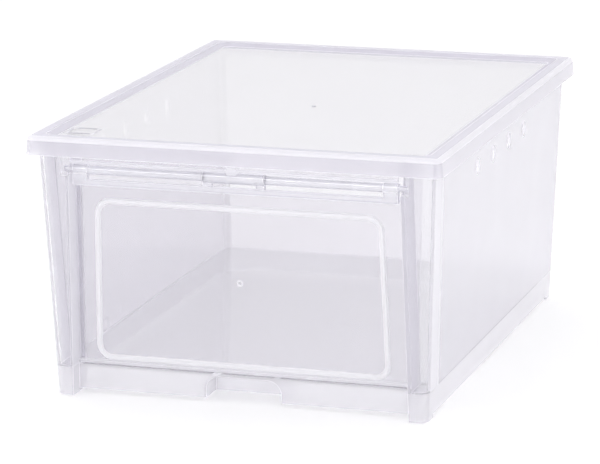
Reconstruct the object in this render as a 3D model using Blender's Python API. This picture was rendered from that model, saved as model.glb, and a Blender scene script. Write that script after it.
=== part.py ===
"""Clear plastic shoe box with a lift-off lid and a front door that flips up.

Three mouldings: the box body, the lid and the door. The front faces -Y, +Z is up and
the origin is the middle of the lid's outline at the level the feet stand on.
Every joint origin sits on its axis: the door's origin is on its hinge rod.
"""

import math

import bpy

MM = 0.001
SHARP_DEGREES = 30.0

# Lid
LID_HALF_X = 118.0
LID_HALF_Y = 161.0
LID_TOP_Z = 149.0
SKIRT_BOTTOM_Z = 138.5
LID_RADIUS = 5.0
LID_WALL = 1.8
LID_FLARE = 0.7  # the skirt leans out by this much towards its lower edge
RIM_WIDTH = 8.8
PANEL_INSET = 13.5
PANEL_Z = 147.0
EDGE_ROUND = 2.5
RIB_PITCH = 60.0

# Body: half widths and wall planes at the floor line, and how far they lean out per mm of height
BODY_TOP_Z = 146.6
BODY_HALF_X = 106.9
BODY_BACK_Y = 150.0
BODY_FRONT_Y = 147.5
LEAN = 0.0397
FRONT_LEAN = 0.065
BODY_RADIUS = 6.0
WALL = 2.0
FLOOR_TOP_Z = 17.0
FLOOR_UNDER_Z = 15.0
SKIRT_GAP = 2.0
FOOT_LENGTH = 14.0

# Front frame: jambs, set-back door plane, sill band and header
JAMB_X = 96.7
JAMB_LEAN = 0.0205
JAMB_WALL = 1.8
POST_BACK_Y = 124.5
POST_BACK_LEAN = 0.068
POST_TOP_Z = 144.7
DOOR_PLANE_Y = 138.0
DOOR_PLANE_LEAN = 0.075
SILL_Z = 19.0
HEADER_Z = 134.3
HEADER_LIP_X = 93.6
HEADER_TAB_X = 2.8
STOP_DEPTH = 1.8
STOP_REACH = 3.0
STOP_GAP = 0.6

# Finger recess under the door and side vents
RECESS_HALF_X = 21.8
RECESS_DEPTH = 17.0
VENT_RADIUS = 4.5
VENT_Z = 124.5
VENT_PITCH = 36.6
VENT_START_Y = -58.0

# Door and its hinge rod
HINGE_Y = -151.5
HINGE_Z = 130.2
ROD_RADIUS = 2.4
PIN_RADIUS = 1.6
SLEEVE_RADIUS = 3.1
SLEEVE_HALF_X = 17.5
LEG_WIDTH = 5.0
EAR_INNER_X = 84.0
EAR_OUTER_X = 92.3
PIN_END_X = 97.5
WINDOW_END_X = 98.4
DOOR_THICK = 2.0
DOOR_SIDE_GAP = 0.8
DOOR_BOTTOM_Z = 19.5
SHELF_Z = 122.0
LIP_FRONT_Y = -154.0
LIP_TOP_Z = 125.5
BORDER_X = 85.6
BORDER_LOW_Z = 20.4
BORDER_HIGH_Z = 113.6
BORDER_LEAN = 0.0295
BORDER_RADIUS = 9.0
BORDER_WIDTH = 3.0
BORDER_HEIGHT = 0.9


def mesh_object(name, points, faces):
    """A mesh object from points in millimetres."""
    mesh = bpy.data.meshes.new(name)
    mesh.from_pydata([[c * MM for c in p] for p in points], [], faces)
    mesh.validate()
    mesh.shade_smooth()
    mesh.set_sharp_from_angle(angle=math.radians(SHARP_DEGREES))
    obj = bpy.data.objects.new(name, mesh)
    bpy.context.scene.collection.objects.link(obj)
    return obj


def loft(name, rings, joined=False):
    """A closed solid through rings of equal count, with end caps or joined to itself."""
    count = len(rings[0])
    points = [p for ring in rings for p in ring]
    faces = []
    spans = len(rings) if joined else len(rings) - 1
    for i in range(spans):
        a, b = i * count, (i + 1) % len(rings) * count
        for j in range(count):
            k = (j + 1) % count
            faces.append((a + j, a + k, b + k, b + j))
    if not joined:
        faces.append(tuple(range(count))[::-1])
        faces.append(tuple(range(len(points) - count, len(points))))
    return outward(mesh_object(name, points, faces))


def outward(obj):
    """Turns every face of a closed mesh outwards by the sign of its volume."""
    mesh = obj.data
    volume = 0.0
    mesh.calc_loop_triangles()
    for tri in mesh.loop_triangles:
        a, b, c = (mesh.vertices[i].co for i in tri.vertices)
        volume += a.dot(b.cross(c))
    if volume < 0:
        mesh.flip_normals()
    return obj


def rounded_ring(half_x, low_y, high_y, radius, z, steps=5):
    """Points round a rectangle with rounded corners, anticlockwise from the right front."""
    points = []
    corners = [
        (half_x - radius, low_y + radius, -90),
        (half_x - radius, high_y - radius, 0),
        (radius - half_x, high_y - radius, 90),
        (radius - half_x, low_y + radius, 180),
    ]
    for cx, cy, start in corners:
        for i in range(steps + 1):
            angle = math.radians(start + 90 * i / steps)
            points.append((cx + radius * math.cos(angle), cy + radius * math.sin(angle), z))
    return points


def slab(name, x_at, low_z, high_z, y_low_at, y_high_at):
    """A four-sided block whose X and Y limits may lean with height."""
    outlines = []
    for z in (low_z, high_z):
        (x0, x1), y0, y1 = x_at(z), y_low_at(z), y_high_at(z)
        outlines.append([(x0, y0, z), (x1, y0, z), (x1, y1, z), (x0, y1, z)])
    return loft(name, outlines)


def cylinder_x(name, x0, x1, y, z, radius, steps=32):
    """A round bar along X."""
    angles = [2 * math.pi * i / steps for i in range(steps)]
    circle = [(y + radius * math.cos(a), z + radius * math.sin(a)) for a in angles]
    return loft(name, [[(x, *point) for point in circle] for x in (x0, x1)])


def boolean(obj, other, operation):
    """Adds an exact Boolean and keeps its helper out of the render."""
    other.hide_render = True
    other.display_type = "WIRE"
    modifier = obj.modifiers.new(f"{operation.lower()}_{other.name}", "BOOLEAN")
    modifier.operation = operation
    modifier.solver = "EXACT"
    modifier.object = other


def body_front(z):
    return -(BODY_FRONT_Y + FRONT_LEAN * z)


def body_side(z):
    return BODY_HALF_X + LEAN * z


def body_back(z):
    return BODY_BACK_Y + LEAN * z


def jamb(z):
    return JAMB_X - JAMB_LEAN * z


def door_plane(z):
    return -(DOOR_PLANE_Y + DOOR_PLANE_LEAN * z)


def post_back(z):
    return -(POST_BACK_Y + POST_BACK_LEAN * z)


def body_ring(inset, z):
    return rounded_ring(
        body_side(z) - inset, body_front(z) + inset, body_back(z) - inset, BODY_RADIUS - inset, z
    )


def make_body():
    """The tub: leaning walls, raised floor, hollow posts, sill band, header and vents."""
    body = loft(
        "box_body",
        [
            body_ring(WALL, FLOOR_TOP_Z),
            body_ring(WALL, BODY_TOP_Z),
            body_ring(0.0, BODY_TOP_Z),
            body_ring(0.0, 0.0),
            body_ring(WALL, 0.0),
            body_ring(WALL, FLOOR_UNDER_Z),
        ],
    )
    door_space = slab(
        "cut_door_space",
        lambda z: (-jamb(z) - JAMB_WALL / 2, jamb(z) + JAMB_WALL / 2),
        -5.0,
        HEADER_Z,
        lambda z: -175.0,
        lambda z: door_plane(z) + WALL / 2,
    )
    boolean(body, door_space, "DIFFERENCE")

    band = slab(
        "add_sill_band",
        lambda z: (-jamb(z) - 1.0, jamb(z) + 1.0),
        SKIRT_GAP,
        SILL_Z,
        door_plane,
        lambda z: door_plane(z) + WALL,
    )
    boolean(body, band, "UNION")

    add_header_details(body)
    for side, label in ((-1, "left"), (1, "right")):
        add_post(body, side, label)

    add_finger_recess(body)
    raise_skirts(body)
    for side in (-1, 1):
        for i in range(4):
            cut_vent(body, side, i)
    return body


def add_header_details(body):
    """The lip along the header's lower edge and the small tab in the middle of it."""
    lip = slab(
        "add_header_lip",
        lambda z: (-HEADER_LIP_X, HEADER_LIP_X),
        HEADER_Z,
        HEADER_Z + 1.6,
        lambda z: body_front(z) - 0.8,
        lambda z: body_front(z) + 1.0,
    )
    boolean(body, lip, "UNION")
    tab = slab(
        "add_header_tab",
        lambda z: (-HEADER_TAB_X, HEADER_TAB_X),
        HEADER_Z - 1.2,
        HEADER_Z + 3.0,
        lambda z: body_front(z) - 0.5,
        lambda z: body_front(z) + 1.4,
    )
    boolean(body, tab, "UNION")


def add_post(body, side, label):
    """The jamb wall, the wall behind it, the door stop and the slot for the hinge pin."""

    def span(inner, outer):
        return (inner, outer) if side > 0 else (-outer, -inner)

    jamb_wall = slab(
        f"add_jamb_{label}",
        lambda z: span(jamb(z), jamb(z) + JAMB_WALL),
        0.0,
        POST_TOP_Z,
        lambda z: body_front(z) + 0.3,
        lambda z: post_back(z) - JAMB_WALL / 2,
    )
    boolean(body, jamb_wall, "UNION")
    back_wall = slab(
        f"add_post_back_{label}",
        lambda z: span(jamb(z) + 0.6, body_side(z) - 0.7),
        FLOOR_TOP_Z - 1.0,
        POST_TOP_Z,
        lambda z: post_back(z) - JAMB_WALL,
        lambda z: post_back(z),
    )
    boolean(body, back_wall, "UNION")
    stop_front = DOOR_THICK + STOP_GAP
    stop = slab(
        f"add_stop_{label}",
        lambda z: span(jamb(z) - STOP_REACH, jamb(z) + 0.6),
        FLOOR_TOP_Z - 0.5,
        LIP_TOP_Z - 6.0,
        lambda z: door_plane(z) + stop_front,
        lambda z: door_plane(z) + stop_front + STOP_DEPTH,
    )
    boolean(body, stop, "UNION")
    reach = PIN_RADIUS + 0.3
    steps = 10
    outlines = []
    for x in (side * 92.0, side * (PIN_END_X + 1.0)):
        outline = [(x, HINGE_Y + reach, 152.0), (x, HINGE_Y - reach, 152.0)]
        for i in range(steps + 1):
            angle = math.pi + math.pi * i / steps
            outline.append((x, HINGE_Y + reach * math.cos(angle), HINGE_Z + reach * math.sin(angle)))
        outlines.append(outline)
    boolean(body, loft(f"cut_pin_slot_{label}", outlines), "DIFFERENCE")
    window = slab(
        f"cut_pin_window_{label}",
        lambda z: span(93.0, WINDOW_END_X),
        HINGE_Z - 3.0,
        137.5,
        lambda z: -170.0,
        lambda z: HINGE_Y - PIN_RADIUS - 0.1,
    )
    boolean(body, window, "DIFFERENCE")


def arch_outline(half_x, low_z, high_z, radius, y, steps=5):
    """A doorway shape in the XZ plane with rounded top corners."""
    points = [(-half_x, y, low_z), (half_x, y, low_z)]
    for cx, start in ((half_x - radius, 0), (radius - half_x, 90)):
        for i in range(steps + 1):
            angle = math.radians(start + 90 * i / steps)
            points.append((cx + radius * math.cos(angle), y, high_z - radius + radius * math.sin(angle)))
    return points


def add_finger_recess(body):
    """A pocket let into the sill band from below, where fingers reach the door's lower edge."""
    front = door_plane(0.0) + 0.5
    back = -DOOR_PLANE_Y + RECESS_DEPTH
    shell = loft(
        "add_recess_shell",
        [
            arch_outline(RECESS_HALF_X + 1.8, SKIRT_GAP, FLOOR_TOP_Z - 0.5, 9.0, front),
            arch_outline(RECESS_HALF_X + 1.8, SKIRT_GAP, FLOOR_TOP_Z - 0.5, 9.0, back + 1.8),
        ],
    )
    boolean(body, shell, "UNION")
    hollow = loft(
        "cut_recess",
        [
            arch_outline(RECESS_HALF_X, -5.0, FLOOR_UNDER_Z - 0.2, 8.0, -160.0),
            arch_outline(RECESS_HALF_X, -5.0, FLOOR_UNDER_Z - 0.2, 8.0, back),
        ],
    )
    boolean(body, hollow, "DIFFERENCE")


def raise_skirts(body):
    """Lifts the skirt between the corner feet so that only the feet stand on the ground."""
    low, high = -(BODY_FRONT_Y - FOOT_LENGTH), BODY_BACK_Y - FOOT_LENGTH
    sides = slab(
        "cut_side_skirts",
        lambda z: (-130.0, 130.0),
        -5.0,
        SKIRT_GAP,
        lambda z: low,
        lambda z: high,
    )
    boolean(body, sides, "DIFFERENCE")
    back_half = BODY_HALF_X - FOOT_LENGTH
    back = slab(
        "cut_back_skirt",
        lambda z: (-back_half, back_half),
        -5.0,
        SKIRT_GAP,
        lambda z: 120.0,
        lambda z: 170.0,
    )
    boolean(body, back, "DIFFERENCE")


def cut_vent(body, side, index):
    """One round vent hole high on a side wall."""
    y = VENT_START_Y + VENT_PITCH * index
    x0, x1 = (100.0, 125.0) if side > 0 else (-125.0, -100.0)
    cutter = cylinder_x(f"cut_vent_{side + 1}_{index}", x0, x1, y, VENT_Z, VENT_RADIUS, steps=20)
    boolean(body, cutter, "DIFFERENCE")


def lid_ring(inset, z, radius):
    return rounded_ring(LID_HALF_X - inset, -LID_HALF_Y + inset, LID_HALF_Y - inset, radius, z, steps=8)


def make_lid():
    """A shallow cap: rounded skirt, flat rim, sloped step and a recessed panel."""
    top = LID_TOP_Z
    rings = [lid_ring(PANEL_INSET, PANEL_Z, 3.0)]
    rings.append(lid_ring(RIM_WIDTH, top, 4.0))
    for i in range(5):
        angle = math.radians(90 - 22.5 * i)
        inset = LID_FLARE + EDGE_ROUND * (1 - math.cos(angle))
        rings.append(lid_ring(inset, top - EDGE_ROUND * (1 - math.sin(angle)), LID_RADIUS - inset))
    rings.append(lid_ring(0.0, SKIRT_BOTTOM_Z, LID_RADIUS))
    rings.append(lid_ring(LID_WALL, SKIRT_BOTTOM_Z, LID_RADIUS - LID_WALL))
    inset = LID_FLARE + LID_WALL
    rings.append(lid_ring(inset, top - LID_WALL, LID_RADIUS - inset))
    rings.append(lid_ring(RIM_WIDTH + 0.6, top - LID_WALL, 4.0))
    rings.append(lid_ring(PANEL_INSET + 0.6, PANEL_Z - LID_WALL, 3.0))
    lid = loft("lid", rings)

    for i in (-1, 0, 1):
        add_lid_rib(lid, f"front_{i + 1}", i * RIB_PITCH, -1, along_x=True)
        add_lid_rib(lid, f"back_{i + 1}", i * RIB_PITCH, 1, along_x=True)
    for i in (-2, -1, 0, 1, 2):
        add_lid_rib(lid, f"left_{i + 2}", i * RIB_PITCH, -1, along_x=False)
        add_lid_rib(lid, f"right_{i + 2}", i * RIB_PITCH, 1, along_x=False)
    return lid


def add_lid_rib(lid, label, place, side, along_x):
    """A short upright rib inside the skirt that centres the lid on the body."""
    half, reach = 1.2, 1.4
    outer = (LID_HALF_Y if along_x else LID_HALF_X) - LID_WALL + 0.5
    inner = outer - 0.5 - reach
    outlines = []
    for z in (SKIRT_BOTTOM_Z + 1.5, LID_TOP_Z - LID_WALL + 0.5):
        corners = [(-half, inner), (half, inner), (half, outer), (-half, outer)]
        if along_x:
            outlines.append([(place + u, side * v, z) for u, v in corners])
        else:
            outlines.append([(side * v, place + u, z) for u, v in corners])
    boolean(lid, loft(f"add_lid_rib_{label}", outlines), "UNION")


def make_door():
    """The flip-up door: flat panel, raised border, shelf and lip, and the hinge rod."""
    door = slab(
        "door",
        lambda z: (-(jamb(z) - DOOR_SIDE_GAP), jamb(z) - DOOR_SIDE_GAP),
        DOOR_BOTTOM_Z,
        SHELF_Z + 1.0,
        door_plane,
        lambda z: door_plane(z) + DOOR_THICK,
    )
    half = EAR_OUTER_X
    shelf = slab(
        "add_shelf",
        lambda z: (-half, half),
        SHELF_Z,
        SHELF_Z + 2.0,
        lambda z: LIP_FRONT_Y,
        lambda z: door_plane(z) + 1.0,
    )
    boolean(door, shelf, "UNION")
    lip = slab(
        "add_lip",
        lambda z: (-half, half),
        SHELF_Z,
        LIP_TOP_Z,
        lambda z: LIP_FRONT_Y,
        lambda z: LIP_FRONT_Y + 1.8,
    )
    boolean(door, lip, "UNION")
    rod = cylinder_x("add_rod", -half + 1.0, half - 1.0, HINGE_Y, HINGE_Z, ROD_RADIUS)
    boolean(door, rod, "UNION")
    sleeve = cylinder_x("add_sleeve", -SLEEVE_HALF_X, SLEEVE_HALF_X, HINGE_Y, HINGE_Z, SLEEVE_RADIUS)
    boolean(door, sleeve, "UNION")
    pins = cylinder_x("add_pins", -PIN_END_X, PIN_END_X, HINGE_Y, HINGE_Z, PIN_RADIUS, steps=24)
    boolean(door, pins, "UNION")
    for side, label in ((-1, "left"), (1, "right")):
        inner, outer = SLEEVE_HALF_X - LEG_WIDTH, SLEEVE_HALF_X - 0.4
        add_arm(door, f"leg_{label}", side * inner, side * outer, 1.2, ROD_RADIUS - 0.3)
        ear = cylinder_x(
            f"add_ear_{label}",
            *sorted((side * EAR_INNER_X, side * EAR_OUTER_X)),
            HINGE_Y,
            HINGE_Z,
            SLEEVE_RADIUS,
        )
        boolean(door, ear, "UNION")
        add_arm(door, f"ear_arm_{label}", side * (EAR_INNER_X + 0.3), side * (EAR_OUTER_X - 0.3), 2.4, 1.6)
    boolean(door, make_border(), "UNION")
    return door


def add_arm(door, label, xa, xb, front, back):
    """An upright web that joins the lip to the hinge rod."""
    x0, x1 = sorted((xa, xb))
    web = slab(
        f"add_{label}",
        lambda z: (x0, x1),
        SHELF_Z + 0.6,
        HINGE_Z,
        lambda z: HINGE_Y - front,
        lambda z: HINGE_Y + back,
    )
    boolean(door, web, "UNION")


def make_border():
    """The raised rounded-rectangle bead on the door's front face."""
    rings = []
    profile = [(0.0, 0.6), (0.0, -0.1), (0.6, -BORDER_HEIGHT), (BORDER_WIDTH - 0.6, -BORDER_HEIGHT)]
    profile += [(BORDER_WIDTH, -0.1), (BORDER_WIDTH, 0.6)]
    middle = (BORDER_LOW_Z + BORDER_HIGH_Z) / 2
    tall = (BORDER_HIGH_Z - BORDER_LOW_Z) / 2
    for inset, out in profile:
        ring = []
        radius = BORDER_RADIUS - inset
        for x, v, _ in rounded_ring(BORDER_X - inset, -tall + inset, tall - inset, radius, 0.0):
            z = middle + v
            ring.append((x * (1 - BORDER_LEAN * z / BORDER_X), door_plane(z) + out, z))
        rings.append(ring)
    return loft("add_border", rings, joined=True)


def set_origin(obj, origin):
    """Moves the object's origin without moving its shape."""
    shift = [c * MM for c in origin]
    for vertex in obj.data.vertices:
        for axis in range(3):
            vertex.co[axis] -= shift[axis]
    obj.location = shift


def clear_plastic(name, tint, roughness):
    material = bpy.data.materials.new(name)
    material.use_nodes = True
    shader = material.node_tree.nodes["Principled BSDF"]
    shader.inputs["Base Color"].default_value = (*tint, 1.0)
    shader.inputs["Roughness"].default_value = roughness
    shader.inputs["Metallic"].default_value = 0.0
    shader.inputs["Alpha"].default_value = 0.35
    return material


def main():
    for obj in list(bpy.data.objects):
        bpy.data.objects.remove(obj)
    body = make_body()
    body.data.materials.append(clear_plastic("clear_body", (0.90, 0.91, 0.95), 0.22))
    lid = make_lid()
    lid.data.materials.append(clear_plastic("clear_lid", (0.91, 0.92, 0.95), 0.20))
    door = make_door()
    door.data.materials.append(clear_plastic("clear_door", (0.92, 0.93, 0.96), 0.15))
    set_origin(door, (0.0, HINGE_Y, HINGE_Z))


main()
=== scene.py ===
"""A clear plastic shoe box with a lift-off lid and a flip-up door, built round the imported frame."""
import math

import bmesh
import bpy
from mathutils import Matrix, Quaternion, Vector
from mathutils.geometry import intersect_point_line


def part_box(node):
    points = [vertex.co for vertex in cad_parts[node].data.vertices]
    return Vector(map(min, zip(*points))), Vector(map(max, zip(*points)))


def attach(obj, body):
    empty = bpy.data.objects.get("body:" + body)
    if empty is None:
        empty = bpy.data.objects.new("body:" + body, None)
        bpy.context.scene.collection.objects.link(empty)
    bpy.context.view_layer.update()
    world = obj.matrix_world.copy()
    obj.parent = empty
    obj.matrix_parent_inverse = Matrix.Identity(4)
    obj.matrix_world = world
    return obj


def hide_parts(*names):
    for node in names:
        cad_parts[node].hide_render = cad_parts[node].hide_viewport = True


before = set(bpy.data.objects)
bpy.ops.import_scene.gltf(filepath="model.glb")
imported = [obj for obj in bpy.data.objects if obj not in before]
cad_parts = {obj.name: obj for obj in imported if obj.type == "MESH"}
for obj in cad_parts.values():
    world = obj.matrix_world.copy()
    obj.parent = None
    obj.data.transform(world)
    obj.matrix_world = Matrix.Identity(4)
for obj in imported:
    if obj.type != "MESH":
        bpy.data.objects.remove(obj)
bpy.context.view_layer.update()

MM = 0.001
BODY_BOX, LID_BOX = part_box("box_body"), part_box("lid")

# Lid, in mm
LID_HALF_X = LID_BOX[1].x / MM
LID_HALF_Y = LID_BOX[1].y / MM
LID_TOP = LID_BOX[1].z / MM
SKIRT_LOW = LID_BOX[0].z / MM
LID_RADIUS = 5.0
LID_EDGE = 2.5
LID_WALL = 1.8
LID_FLARE = 0.7
RIM = 8.8
PANEL_INSET = 13.5
PANEL_Z = LID_TOP - 2.0
PANEL_CORNER, RIM_CORNER, STEP_OFFSET = 3.0, 4.0, 0.6
PLATE = (-103.0, -86.0, -137.0, -122.0)
PLATE_CORNER, PLATE_HEIGHT = 2.4, 0.3
GATE_X, GATE_Y, GATE_RADIUS, GATE_HEIGHT = 7.0, -27.0, 1.3, 0.4
RIB_HALF, RIB_REACH, RIB_ROOT, RIB_PITCH = 1.2, 1.4, 0.5, 60.0

# Body walls: half sizes at the ground and lean per mm of height
BODY_TOP = BODY_BOX[1].z / MM
SIDE_X, SIDE_LEAN = 106.9, 0.0397
BACK_Y, BACK_LEAN = 150.0, 0.0397
FRONT_Y, FRONT_LEAN = 147.5, 0.065
CORNER = 6.0
WALL = 2.0
FLOOR_TOP, FLOOR_UNDER = 17.0, 15.0
SKIRT_GAP = 2.0
BASE_LINE = 16.5
FOOT = 14.0

# Front frame
JAMB_X, JAMB_LEAN, JAMB_WALL = 96.7, 0.0205, 1.8
POST_Y, POST_LEAN, POST_TOP = 124.5, 0.068, 144.7
DOOR_Y, DOOR_LEAN = 138.0, 0.075
SILL, HEADER = 19.0, 134.3
STOP_GAP, STOP_DEPTH, STOP_REACH = 0.6, 1.8, 3.0
# How far in from the jamb and from the side wall the wall behind a post starts and ends
POST_FOOT, POST_INSIDE = 0.6, 0.7
LEDGE_X, LEDGE_TALL, LEDGE_OUT = 93.6, 1.6, 0.8
CATCH_X, CATCH_BELOW, CATCH_ABOVE = 2.8, 1.2, 3.0
RECESS_X, RECESS_DEPTH, RECESS_WALL, RECESS_ROUND = 21.8, 17.0, 1.8, 8.0
VENT_RADIUS, VENT_Z, VENT_PITCH, VENT_START = 4.5, 124.5, 36.6, -58.0

# Door and hinge rod
HINGE_Y, HINGE_Z = -151.5, 130.2
ROD, PIN, EAR, SLEEVE, SLEEVE_X = 2.4, 1.6, 3.0, 3.1, 17.5
EAR_IN, EAR_OUT, PIN_END = 84.0, 92.3, 97.5
DOOR_THICK, DOOR_LOW, DOOR_GAP = 2.0, 19.5, 0.8
SHELF, LIP_TOP, LIP_Y = 122.0, 125.5, -154.0
SHELF_THICK, LIP_THICK = 2.0, 1.8
SOCKET_PLAY, SOCKET_IN, MOUTH = 0.3, 92.0, (93.0, 98.4)
LEG_WIDTH, LEG_FRONT, LEG_BACK, EAR_BACK = 5.0, 1.45, 1.95, 1.41
BEAD_HALF, BEAD_LOW, BEAD_HIGH, BEAD_CORNER = 85.6, 20.4, 113.6, 9.0
BEAD_WIDTH, BEAD_HEIGHT, BEAD_TAPER = 3.0, 0.9, 0.0295
RING_Z = 70.0

# Edge rounding: its width, the least turn between faces that gets it, and the room that it needs
ROUNDING, SHARP, ROOM = 0.25, math.radians(14.0), 2.2
MERGE = 0.02  # points nearer than this become one
SAME_SURFACE = 0.65  # the least cosine between the normals of faces that shade as one

# Faces narrower than this take the edge finish: milky cut edges, whiter than the walls, and in part a
# painted highlight
EDGE_AND_HIGHLIGHT, NARROW = "edge", 2.2


def body_side(z):
    return SIDE_X + SIDE_LEAN * z


def body_back(z):
    return BACK_Y + BACK_LEAN * z


def body_front(z):
    return -(FRONT_Y + FRONT_LEAN * z)


def jamb(z):
    return JAMB_X - JAMB_LEAN * z


def post_back(z):
    return -(POST_Y + POST_LEAN * z)


def door_plane(z):
    return -(DOOR_Y + DOOR_LEAN * z)


# ---------------------------------------------------------------- mesh making


def loft(name, rings, joined=False):
    """A closed solid through rings of equal count, capped or joined to itself."""
    count, total = len(rings[0]), len(rings[0]) * len(rings)
    spans = len(rings) if joined else len(rings) - 1
    faces = []
    for i in range(spans):
        a, b = i * count, (i + 1) % len(rings) * count
        for j in range(count):
            k = (j + 1) % count
            faces.append((a + j, a + k, b + k, b + j))
    if not joined:
        faces += [tuple(range(count))[::-1], tuple(range(total - count, total))]
    mesh = bpy.data.meshes.new(name)
    mesh.from_pydata([[c * MM for c in p] for ring in rings for p in ring], [], faces)
    made = bmesh.new()
    made.from_mesh(mesh)
    if made.calc_volume(signed=True) < 0:
        bmesh.ops.reverse_faces(made, faces=made.faces)
    made.to_mesh(mesh)
    made.free()
    obj = bpy.data.objects.new(name, mesh)
    bpy.context.scene.collection.objects.link(obj)
    return obj


def round_ring(half_x, low, high, radius, z, steps=8):
    """Points round a rectangle with rounded corners."""
    points = []
    for cx, cy, start in (
        (half_x - radius, low + radius, -90),
        (half_x - radius, high - radius, 0),
        (radius - half_x, high - radius, 90),
        (radius - half_x, low + radius, 180),
    ):
        for i in range(steps + 1):
            angle = math.radians(start + 90 * i / steps)
            points.append((cx + radius * math.cos(angle), cy + radius * math.sin(angle), z))
    return points


def slab(x_at, low, high, y_low, y_high):
    """A four-sided block whose X and Y limits may lean with height."""
    rings = []
    for z in (low, high):
        (x0, x1), y0, y1 = x_at(z), y_low(z), y_high(z)
        rings.append([(x0, y0, z), (x1, y0, z), (x1, y1, z), (x0, y1, z)])
    return loft("tool", rings)


def bar(x0, x1, y, z, radius, steps=32):
    """A round bar along X."""
    angles = [2 * math.pi * i / steps for i in range(steps)]
    around = [(y + radius * math.cos(a), z + radius * math.sin(a)) for a in angles]
    return loft("tool", [[(x, *p) for p in around] for x in sorted((x0, x1))])


def combine(obj, steps):
    """Adds and cuts the tools in turn, exactly, and leaves one plain mesh."""
    for operation, tool in steps:
        modifier = obj.modifiers.new("step", "BOOLEAN")
        modifier.operation, modifier.solver, modifier.object = operation, "EXACT", tool
    bpy.context.view_layer.update()
    graph = bpy.context.evaluated_depsgraph_get()
    mesh = bpy.data.meshes.new_from_object(obj.evaluated_get(graph), depsgraph=graph)
    obj.modifiers.clear()
    obj.data = mesh
    for _, tool in steps:
        bpy.data.objects.remove(tool)
    return obj


def soften(obj, finish_of, finishes, cuts):
    """Cleans the mesh, splits faces along the cuts, gives each a finish, and rounds sharp edges."""
    made = bmesh.new()
    made.from_mesh(obj.data)
    strip = made.faces.layers.int.new("strip")
    bmesh.ops.remove_doubles(made, verts=made.verts, dist=MERGE * MM)
    bmesh.ops.dissolve_limit(made, angle_limit=math.radians(0.4), verts=made.verts,
                             edges=made.edges, use_dissolve_boundaries=False)
    for point, normal in cuts:
        bmesh.ops.bisect_plane(made, geom=made.verts[:] + made.edges[:] + made.faces[:],
                               dist=MERGE * MM, plane_co=Vector(point) * MM, plane_no=normal)
    slots = [EDGE_AND_HIGHLIGHT]
    for face in made.faces:
        across = 2 * face.calc_area() / sum(e.calc_length() for e in face.edges) / MM
        finish = finish_of(face.calc_center_median() / MM, face.normal, across)
        if finish not in slots:
            slots.append(finish)
        face.material_index = slots.index(finish)
    obj.data.materials.clear()
    for finish in slots:
        obj.data.materials.append(finishes[finish])
    sharp = [e for e in made.edges if len(e.link_faces) == 2 and e.calc_face_angle(0) > SHARP
             and room_beside(e) > ROOM * ROUNDING * MM]
    # The rounding strips take slot 0, the edge finish, which paints a highlight along every rounded
    # edge in part
    rounded = bmesh.ops.bevel(made, geom=sharp, offset=ROUNDING * MM, offset_type="OFFSET",
                              segments=2, profile=0.6, affect="EDGES", clamp_overlap=False,
                              material=0, loop_slide=True)
    for face in rounded["faces"]:
        face[strip] = 1
    bmesh.ops.triangulate(made, faces=[f for f in made.faces if len(f.verts) > 4])
    normals = corner_normals(made, strip)
    made.faces.layers.int.remove(strip)
    made.to_mesh(obj.data)
    made.free()
    obj.data.shade_smooth()
    obj.data.normals_split_custom_set(normals)
    return obj


def room_beside(edge):
    """The least distance from the edge's middle to an edge across either of its faces."""
    middle = (edge.verts[0].co + edge.verts[1].co) / 2
    least = 1.0
    for face in edge.link_faces:
        for other in face.edges:
            if not set(other.verts) & set(edge.verts):
                a, b = other.verts[0].co, other.verts[1].co
                share = min(max(intersect_point_line(middle, a, b)[1], 0.0), 1.0)
                least = min(least, (a.lerp(b, share) - middle).length)
    return least


def corner_normals(made, strip):
    """A normal for each face corner: flat faces shade flat, and rounding strips blend between."""
    normals = []
    for face in made.faces:
        for vert in face.verts:
            near = [f for f in vert.link_faces if f.normal.dot(face.normal) > SAME_SURFACE]
            total = Vector((0, 0, 0))
            for other in [f for f in near if not f[strip]] or near:
                total += other.normal * other.calc_area()
            normals.append(total.normalized() if total.length > 0 else vert.normal.copy())
    return normals


# ---------------------------------------------------------------- the body


def body_ring(inset, z):
    return round_ring(
        body_side(z) - inset, body_front(z) + inset, body_back(z) - inset, CORNER - inset, z
    )


def span(side, inner, outer):
    return (inner, outer) if side > 0 else (-outer, -inner)


def arch(half_x, low, high, radius, y, steps=8):
    """A doorway outline with rounded top corners."""
    points = [(-half_x, y, low), (half_x, y, low)]
    for cx, start in ((half_x - radius, 0), (radius - half_x, 90)):
        for i in range(steps + 1):
            angle = math.radians(start + 90 * i / steps)
            z = high - radius + radius * math.sin(angle)
            points.append((cx + radius * math.cos(angle), y, z))
    return points


def post_steps(side):
    """The jamb wall, the wall behind the post, the door stop and the hinge socket."""
    gap = DOOR_THICK + STOP_GAP
    return [
        ("UNION", slab(lambda z: span(side, jamb(z), jamb(z) + JAMB_WALL), 0.0, POST_TOP,
                       body_front, lambda z: post_back(z) - JAMB_WALL / 2)),
        ("UNION", slab(lambda z: span(side, jamb(z) + POST_FOOT, body_side(z) - POST_INSIDE),
                       FLOOR_TOP - 1.0, POST_TOP, lambda z: post_back(z) - JAMB_WALL, post_back)),
        ("UNION", slab(lambda z: span(side, jamb(z) - STOP_REACH, jamb(z) + POST_FOOT),
                       FLOOR_TOP - 0.5, LIP_TOP - 6.0, lambda z: door_plane(z) + gap,
                       lambda z: door_plane(z) + gap + STOP_DEPTH)),
        ("DIFFERENCE", socket(side)),
        ("DIFFERENCE", slab(lambda z: span(side, *MOUTH), HINGE_Z - 3.0, 137.5,
                            lambda z: -170.0, lambda z: HINGE_Y - PIN - 0.1)),
    ]


def socket(side):
    """The cutter for a U-shaped slot that holds a pin and is open at the top."""
    reach = PIN + SOCKET_PLAY
    rings = []
    for x in (side * SOCKET_IN, side * (PIN_END + 1.0)):
        ring = [(x, HINGE_Y + reach, 152.0), (x, HINGE_Y - reach, 152.0)]
        for i in range(17):
            angle = math.pi + math.pi * i / 16
            ring.append((x, HINGE_Y + reach * math.cos(angle), HINGE_Z + reach * math.sin(angle)))
        rings.append(ring)
    return loft("tool", rings)


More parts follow.
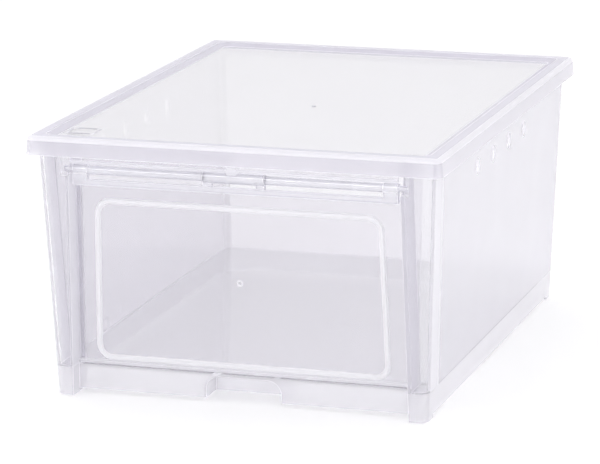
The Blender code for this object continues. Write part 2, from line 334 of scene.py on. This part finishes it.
def foot_steps():
    """Cuts under the front and sides, then under the back, that leave four feet."""
    front, back, side = -(FRONT_Y - FOOT), BACK_Y - FOOT, SIDE_X - FOOT
    return [
        ("DIFFERENCE", slab(lambda z: (-130, 130), -5.0, SKIRT_GAP,
                            lambda z: front, lambda z: back)),
        ("DIFFERENCE", slab(lambda z: (-side, side), -5.0, SKIRT_GAP,
                            lambda z: 120, lambda z: 170)),
    ]


def make_body():
    """The tub with its floor, posts, sill band, header, finger recess, feet and vents."""
    obj = loft("box_body_moulding", [
        body_ring(WALL, FLOOR_TOP), body_ring(WALL, BODY_TOP), body_ring(0.0, BODY_TOP),
        body_ring(0.0, 0.0), body_ring(WALL, 0.0), body_ring(WALL, FLOOR_UNDER),
    ])
    half_wall = JAMB_WALL / 2
    steps = [
        ("DIFFERENCE", slab(lambda z: (-jamb(z) - half_wall, jamb(z) + half_wall), -5.0, HEADER,
                            lambda z: -175.0, lambda z: door_plane(z) + WALL / 2)),
        ("UNION", slab(lambda z: (-jamb(z) - 1.0, jamb(z) + 1.0), SKIRT_GAP, SILL,
                       door_plane, lambda z: door_plane(z) + WALL)),
        ("UNION", slab(lambda z: (-LEDGE_X, LEDGE_X), HEADER, HEADER + LEDGE_TALL,
                       lambda z: body_front(z) - LEDGE_OUT, lambda z: body_front(z) + 1.0)),
        ("UNION", slab(lambda z: (-CATCH_X, CATCH_X), HEADER - CATCH_BELOW, HEADER + CATCH_ABOVE,
                       lambda z: body_front(z) - LEDGE_OUT, lambda z: body_front(z) + 1.4)),
    ]
    for side in (-1, 1):
        steps += post_steps(side)
    back = -DOOR_Y + RECESS_DEPTH
    steps.append(("UNION", loft("tool", [
        arch(RECESS_X + RECESS_WALL, SKIRT_GAP, FLOOR_TOP - 0.5, RECESS_ROUND + 1.0, y)
        for y in (door_plane(0) + 0.5, back + RECESS_WALL)])))
    steps.append(("DIFFERENCE", loft("tool", [
        arch(RECESS_X, -5.0, FLOOR_UNDER - 0.2, RECESS_ROUND, y) for y in (-160.0, back)])))
    steps += foot_steps()
    for side in (-1, 1):
        for i in range(4):
            vent = bar(side * 100, side * 125, VENT_START + VENT_PITCH * i, VENT_Z, VENT_RADIUS)
            steps.append(("DIFFERENCE", vent))
    return combine(obj, steps)


# ---------------------------------------------------------------- the lid


def lid_ring(inset, z, radius):
    return round_ring(LID_HALF_X - inset, -LID_HALF_Y + inset, LID_HALF_Y - inset, radius, z)


def make_lid():
    """A shallow cap: rounded skirt, flat rim, sloped step and a recessed panel."""
    rings = [lid_ring(PANEL_INSET, PANEL_Z, PANEL_CORNER), lid_ring(RIM, LID_TOP, RIM_CORNER)]
    for i in range(9):
        angle = math.radians(90 - 11.25 * i)
        inset = LID_FLARE + LID_EDGE * (1 - math.cos(angle))
        height = LID_TOP - LID_EDGE * (1 - math.sin(angle))
        rings.append(lid_ring(inset, height, LID_RADIUS - inset))
    under = LID_TOP - LID_WALL
    inset = LID_FLARE + LID_WALL
    rings += [
        lid_ring(0.0, SKIRT_LOW, LID_RADIUS),
        lid_ring(LID_WALL, SKIRT_LOW, LID_RADIUS - LID_WALL),
        lid_ring(inset, under, LID_RADIUS - inset),
        lid_ring(RIM + STEP_OFFSET, under, RIM_CORNER),
        lid_ring(PANEL_INSET + STEP_OFFSET, PANEL_Z - LID_WALL, PANEL_CORNER),
    ]
    obj = loft("lid_moulding", rings)
    tools = [lid_rib(i * RIB_PITCH, side, True) for i in (-1, 0, 1) for side in (-1, 1)]
    tools += [lid_rib(i * RIB_PITCH, side, False) for i in (-2, -1, 0, 1, 2) for side in (-1, 1)]
    tools += [plate_outline(), gate_speck()]
    return combine(obj, [("UNION", tool) for tool in tools])


def lid_rib(place, side, along_x):
    """A small rib inside the skirt, which centres the lid on the body."""
    outer = (LID_HALF_Y if along_x else LID_HALF_X) - LID_WALL + RIB_ROOT
    inner = outer - RIB_ROOT - RIB_REACH
    rings = []
    for z in (SKIRT_LOW + 1.5, LID_TOP - LID_WALL + RIB_ROOT):
        corners = [(-RIB_HALF, inner), (RIB_HALF, inner), (RIB_HALF, outer), (-RIB_HALF, outer)]
        if along_x:
            rings.append([(place + u, side * v, z) for u, v in corners])
        else:
            rings.append([(side * v, place + u, z) for u, v in corners])
    return loft("tool", rings)


def plate_outline():
    """The thin raised outline of a small blank plate on the panel."""
    x0, x1, y0, y1 = PLATE
    middle, half = (x0 + x1) / 2, (x1 - x0) / 2
    low, high = PANEL_Z - PLATE_HEIGHT, PANEL_Z + PLATE_HEIGHT
    rings = []
    for inset, z in ((-0.45, low), (0.3, high), (0.9, high), (1.65, low)):
        outline = round_ring(half - inset, y0 + inset, y1 - inset, PLATE_CORNER, z)
        rings.append([(x + middle, y, z) for x, y, z in outline])
    return loft("tool", rings, joined=True)


def circle(radius, count=24):
    """Points round a circle."""
    angles = [i / (count / 2) * math.pi for i in range(count)]
    return [(radius * math.cos(a), radius * math.sin(a)) for a in angles]


def gate_speck():
    """The low disc that the moulding gate leaves on the panel."""
    rings = []
    for radius, height in ((GATE_RADIUS, -0.6), (GATE_RADIUS, 0.2), (1.0, GATE_HEIGHT)):
        rings.append([(GATE_X + u, GATE_Y + v, PANEL_Z + height) for u, v in circle(radius)])
    return loft("tool", rings)


# ---------------------------------------------------------------- the door


def make_door():
    """Panel, bead, shelf, lip, legs, ears and the hinge rod in one."""
    obj = slab(lambda z: (-(jamb(z) - DOOR_GAP), jamb(z) - DOOR_GAP), DOOR_LOW, SHELF + 1.0,
               door_plane, lambda z: door_plane(z) + DOOR_THICK)
    obj.name = obj.data.name = "door_moulding"
    half = EAR_OUT
    tools = [
        slab(lambda z: (-half, half), SHELF, SHELF + SHELF_THICK,
             lambda z: LIP_Y, lambda z: door_plane(z) + 1.0),
        slab(lambda z: (-half, half), SHELF, LIP_TOP,
             lambda z: LIP_Y, lambda z: LIP_Y + LIP_THICK),
        bar(1 - half, half - 1, HINGE_Y, HINGE_Z, ROD),
        bar(-SLEEVE_X, SLEEVE_X, HINGE_Y, HINGE_Z, SLEEVE),
        bar(-PIN_END, PIN_END, HINGE_Y, HINGE_Z, PIN),
    ]
    for side in (-1, 1):
        tools.append(arm(side, SLEEVE_X - LEG_WIDTH, SLEEVE_X, LEG_FRONT, LEG_BACK))
        tools.append(bar(side * EAR_IN, side * EAR_OUT, HINGE_Y, HINGE_Z, EAR))
        tools.append(arm(side, EAR_IN, EAR_OUT, HINGE_Y - LIP_Y, EAR_BACK))
    tools += [bead(), gate_ring()]
    return combine(obj, [("UNION", tool) for tool in tools])


def arm(side, inner, outer, front, back):
    """A leg or ear that joins the shelf to the hinge rod."""
    return slab(lambda z: span(side, inner, outer), SHELF + 0.6, HINGE_Z,
                lambda z: HINGE_Y - front, lambda z: HINGE_Y + back)


def bead():
    """A raised rounded-rectangle bead that narrows upwards with the jambs."""
    middle, tall = (BEAD_LOW + BEAD_HIGH) / 2, (BEAD_HIGH - BEAD_LOW) / 2
    rings = []
    for inset, out in ((-0.4, 0.6), (0.6, -BEAD_HEIGHT), (BEAD_WIDTH - 0.6, -BEAD_HEIGHT),
                       (BEAD_WIDTH + 0.4, 0.6)):
        side, corner = BEAD_HALF - inset, BEAD_CORNER - inset
        ring = []
        for x, v, _ in round_ring(side, inset - tall, tall - inset, corner, 0.0):
            z = middle + v
            ring.append((x * (1 - BEAD_TAPER * z / BEAD_HALF), door_plane(z) + out, z))
        rings.append(ring)
    return loft("tool", rings, joined=True)


def gate_ring():
    """The small ring that the moulding gate leaves in the middle of the door."""
    rings = []
    for radius, out in ((2.2, 0.4), (1.75, -0.3), (1.25, -0.3), (0.8, 0.4)):
        rings.append([(u, door_plane(RING_Z) + out, RING_Z + v) for u, v in circle(radius)])
    return loft("tool", rings, joined=True)


# ---------------------------------------------------------------- materials


def clear_plastic(name, tint, milk_tint, haze, edge_haze, roughness, through,
                  ior=1.3, coat_ior=1.5):
    """Milky clear plastic: refracting glass with a haze that grows towards grazing."""
    material = bpy.data.materials.new(name)
    material.use_nodes = True
    nodes, links = material.node_tree.nodes, material.node_tree.links
    glass = nodes["Principled BSDF"]
    glass.inputs["Base Color"].default_value = (*tint, 1.0)
    glass.inputs["Transmission Weight"].default_value = 1.0
    glass.inputs["IOR"].default_value = ior
    glass.inputs["Coat Weight"].default_value = 1.0
    glass.inputs["Coat Roughness"].default_value = 0.08
    glass.inputs["Coat IOR"].default_value = coat_ior
    glass.inputs["Roughness"].default_value = roughness
    milk = nodes.new("ShaderNodeBsdfDiffuse")
    glow = nodes.new("ShaderNodeBsdfTranslucent")
    milk.inputs["Color"].default_value = glow.inputs["Color"].default_value = (*milk_tint, 1.0)
    scatter = nodes.new("ShaderNodeMixShader")
    scatter.inputs[0].default_value = through
    links.new(milk.outputs[0], scatter.inputs[1])
    links.new(glow.outputs[0], scatter.inputs[2])
    place = nodes.new("ShaderNodeTexCoord")
    cloud = nodes.new("ShaderNodeTexNoise")
    cloud.inputs["Scale"].default_value = 12.0
    cloud.inputs["Detail"].default_value = 2.0
    links.new(place.outputs["Object"], cloud.inputs["Vector"])
    facing = nodes.new("ShaderNodeLayerWeight")
    facing.inputs["Blend"].default_value = 0.35
    grazing = nodes.new("ShaderNodeMapRange")
    grazing.inputs["To Min"].default_value = haze
    grazing.inputs["To Max"].default_value = edge_haze
    links.new(facing.outputs["Facing"], grazing.inputs["Value"])
    patchy = nodes.new("ShaderNodeMapRange")
    patchy.inputs["From Min"].default_value = 0.3
    patchy.inputs["From Max"].default_value = 0.7
    patchy.inputs["To Min"].default_value = 0.95
    patchy.inputs["To Max"].default_value = 1.05
    links.new(cloud.outputs["Fac"], patchy.inputs["Value"])
    share = nodes.new("ShaderNodeMath")
    share.operation = "MULTIPLY"
    links.new(grazing.outputs["Result"], share.inputs[0])
    links.new(patchy.outputs["Result"], share.inputs[1])
    wall = nodes.new("ShaderNodeMixShader")
    links.new(share.outputs[0], wall.inputs[0])
    links.new(glass.outputs[0], wall.inputs[1])
    links.new(scatter.outputs[0], wall.inputs[2])
    path = nodes.new("ShaderNodeLightPath")
    open_way = nodes.new("ShaderNodeBsdfTransparent")
    open_way.inputs["Color"].default_value = (0.985, 0.985, 0.99, 1.0)
    lamps = nodes.new("ShaderNodeMixShader")
    links.new(path.outputs["Is Shadow Ray"], lamps.inputs[0])
    links.new(wall.outputs[0], lamps.inputs[1])
    links.new(open_way.outputs[0], lamps.inputs[2])
    links.new(lamps.outputs[0], nodes["Material Output"].inputs["Surface"])
    return material


# ---------------------------------------------------------------- stage, lamps, camera


def stage():
    """A pale floor and a pale room."""
    corners = [(x, y, 0) for x, y in ((-6, -6), (6, -6), (6, 6), (-6, 6))]
    mesh = bpy.data.meshes.new("stage_floor")
    mesh.from_pydata(corners, [], [(0, 1, 2, 3)])
    floor = bpy.data.objects.new("stage_floor", mesh)
    floor.location.z = -0.0005
    bpy.context.scene.collection.objects.link(floor)
    paint = bpy.data.materials.new("stage_paint")
    paint.use_nodes = True
    surface = paint.node_tree.nodes["Principled BSDF"]
    surface.inputs["Base Color"].default_value = (1.0, 1.0, 1.0, 1)
    surface.inputs["Roughness"].default_value = 0.9
    mesh.materials.append(paint)
    world = bpy.data.worlds.new("pale_room")
    world.use_nodes = True
    background = world.node_tree.nodes["Background"]
    background.inputs["Color"].default_value = (1.0, 1.0, 1.0, 1)
    background.inputs["Strength"].default_value = 1.0
    bpy.context.scene.world = world
    bpy.context.scene.view_settings.view_transform = "Standard"


def lamp(name, place, target, size, power):
    """A soft rectangular lamp at a place, turned towards a target."""
    data = bpy.data.lights.new(name, "AREA")
    data.shape = "RECTANGLE"
    data.size, data.size_y = size
    data.energy = power
    obj = bpy.data.objects.new(name, data)
    obj.location = place
    obj.rotation_euler = (Vector(target) - Vector(place)).to_track_quat("-Z", "Y").to_euler()
    bpy.context.scene.collection.objects.link(obj)


def camera():
    """A distant view from the front right and a little above, rolled by a hair."""
    data = bpy.data.cameras.new("camera")
    data.sensor_width = 36.0
    data.lens = 200.2
    data.clip_end = 50.0
    obj = bpy.data.objects.new("camera", data)
    azimuth, elevation, distance, roll = math.radians(17.26), math.radians(13.14), 1.958, -0.005
    target = Vector((-0.010, 0.0, 0.066))
    level = math.cos(elevation)
    away = Vector((math.sin(azimuth) * level, -math.cos(azimuth) * level, math.sin(elevation)))
    obj.location = target + distance * away
    turn = (-away).to_track_quat("-Z", "Y") @ Quaternion((0, 0, 1), roll)
    obj.rotation_euler = turn.to_euler()
    bpy.context.scene.collection.objects.link(obj)
    bpy.context.scene.camera = obj


# ---------------------------------------------------------------- finishes


# Where the body's walls change finish: above the base, and on both sides of each post's back wall
POST_SLOPE = (0, 1, POST_LEAN)
BODY_CUTS = (
    ((0, 0, BASE_LINE), (0, 0, 1)),
    ((0, -POST_Y, 0), POST_SLOPE),
    ((0, -POST_Y - JAMB_WALL, 0), POST_SLOPE),
)


def body_finish(at, normal, across):
    """Clear walls, a bright floor, milky jambs and base, and pale narrow edges whose paleness is
    partly a painted highlight.
    """
    level = abs(normal.z) > 0.9
    if level and FLOOR_UNDER - 0.5 < at.z < FLOOR_TOP + 0.5 and at.y > 3.0 - DOOR_Y:
        return "floor"
    if at.z < BASE_LINE:
        return "base"
    behind = at.y - post_back(at.z)
    sideways = abs(normal.x) > 0.95
    if behind > 0:
        by_vent = abs(at.z - VENT_Z) < 6 and at.y > VENT_START - 6
        if by_vent and abs(at.x) > 100 and not sideways:
            return "rim"
        return "clear" if sideways or across > NARROW or normal.y > 0.5 else EDGE_AND_HIGHLIGHT
    if sideways and behind > -JAMB_WALL:
        return EDGE_AND_HIGHLIGHT
    if abs(at.x) > jamb(at.z) - 0.5 and abs(normal.z) < 0.5:
        return "post" if abs(normal.x) > 0.998 else "thin"
    if at.z > HEADER - 1.5:
        return "lip"
    if normal.z > 0.9 and at.z < SILL + 0.5:
        return "thin"
    return EDGE_AND_HIGHLIGHT if across < NARROW else "clear"


def lid_finish(at, normal, across):
    """A clear panel, a grey sloped step and pad outline, a milky skirt and a pale rounded rim whose
    paleness is partly a painted highlight.
    """
    inset = min(LID_HALF_X - abs(at.x), LID_HALF_Y - abs(at.y))
    if inset > PANEL_INSET and at.z > PANEL_Z + 0.05:
        return "slope"
    if RIM < inset < PANEL_INSET and 0.8 < abs(normal.z) < 0.99:
        return "slope"
    if abs(normal.z) < 0.2 and at.z < LID_TOP - LID_EDGE + 0.1:
        return "skirt"
    return EDGE_AND_HIGHLIGHT if across < NARROW else "clear"


def door_finish(at, normal, across):
    """A clear panel with a pale bead and edges that are partly a painted highlight, a milky shelf and
    lip, and a milky hinge rod.
    """
    raised = door_plane(at.z) - at.y
    if at.z > LIP_TOP + 0.1:
        return "rod"
    if at.z < SHELF - 2.0:
        # The bead, the gate ring and the narrow faces take the edge finish, which paints their
        # highlights in part
        return EDGE_AND_HIGHLIGHT if raised > 0.05 or across < NARROW and abs(normal.y) < 0.9 else "clear"
    return "lip"


WHITE, GREY, SMOKE = (0.985, 0.985, 0.992), (0.921, 0.912, 0.936), (0.90, 0.89, 0.915)
MILK, LAVENDER, PALE = (0.82, 0.80, 0.88), (0.86, 0.84, 0.905), (0.96, 0.95, 0.985)

# Each finish: milk tint, haze face on, haze at grazing, roughness, share of light let through,
# and then, where they differ from the usual, the index of the plastic and of its surface
FINISHES = {
    # The edge finish: milky cut edges, and in part a painted highlight on rounded edges and on the
    # door's bead
    EDGE_AND_HIGHLIGHT: (PALE, 0.75, 0.95, 0.20, 0.35),
    "slope": (MILK, 0.50, 0.65, 0.10, 0.4),
    "base": ((0.89, 0.875, 0.92), 0.38, 0.66, 0.12, 0.3),
    "floor": ((0.95, 0.94, 0.98), 0.06, 0.28, 0.05, 0.45),
    "skirt": (LAVENDER, 0.35, 0.55, 0.12, 0.4),
    "rod": ((0.80, 0.79, 0.85), 0.34, 0.80, 0.08, 0.4, 1.12, 2.2),
    "post": ((0.92, 0.91, 0.955), 0.45, 0.75, 0.12, 0.35),
    "thin": ((0.90, 0.885, 0.93), 0.06, 0.30, 0.05, 0.4, 1.12),
    "lip": ((0.86, 0.85, 0.90), 0.55, 0.80, 0.12, 0.3),
    "rim": (PALE, 0.95, 0.98, 0.30, 0.05),
}

# Each piece: its maker, CAD node, body, clear tint, haze face on and at grazing, finishes and cuts
PIECES = (
    (make_body, "box_body", "body", GREY, 0.07, 0.50, body_finish, BODY_CUTS),
    (make_lid, "lid", "lid", WHITE, 0.09, 0.25, lid_finish, ()),
    (make_door, "door", "door", SMOKE, 0.06, 0.40, door_finish, ()),
)


def main():
    stage()
    lamp("key", (-0.5, -1.6, 1.15), (0, -0.1, 0.1), (1.2, 0.25), 8)
    lamp("side", (1.4, 0.3, 0.9), (0, 0, 0.07), (0.3, 0.3), 2.5)
    camera()
    shared = {key: clear_plastic("plastic_" + key, WHITE, *look) for key, look in FINISHES.items()}
    for make, node, body, tint, haze, grazing, finish_of, cuts in PIECES:
        obj = make()
        clear = clear_plastic("clear_" + node, tint, MILK, haze, grazing, 0.05, 0.5)
        soften(obj, finish_of, {"clear": clear, **shared}, cuts)
        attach(obj, body)
        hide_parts(node)


main()
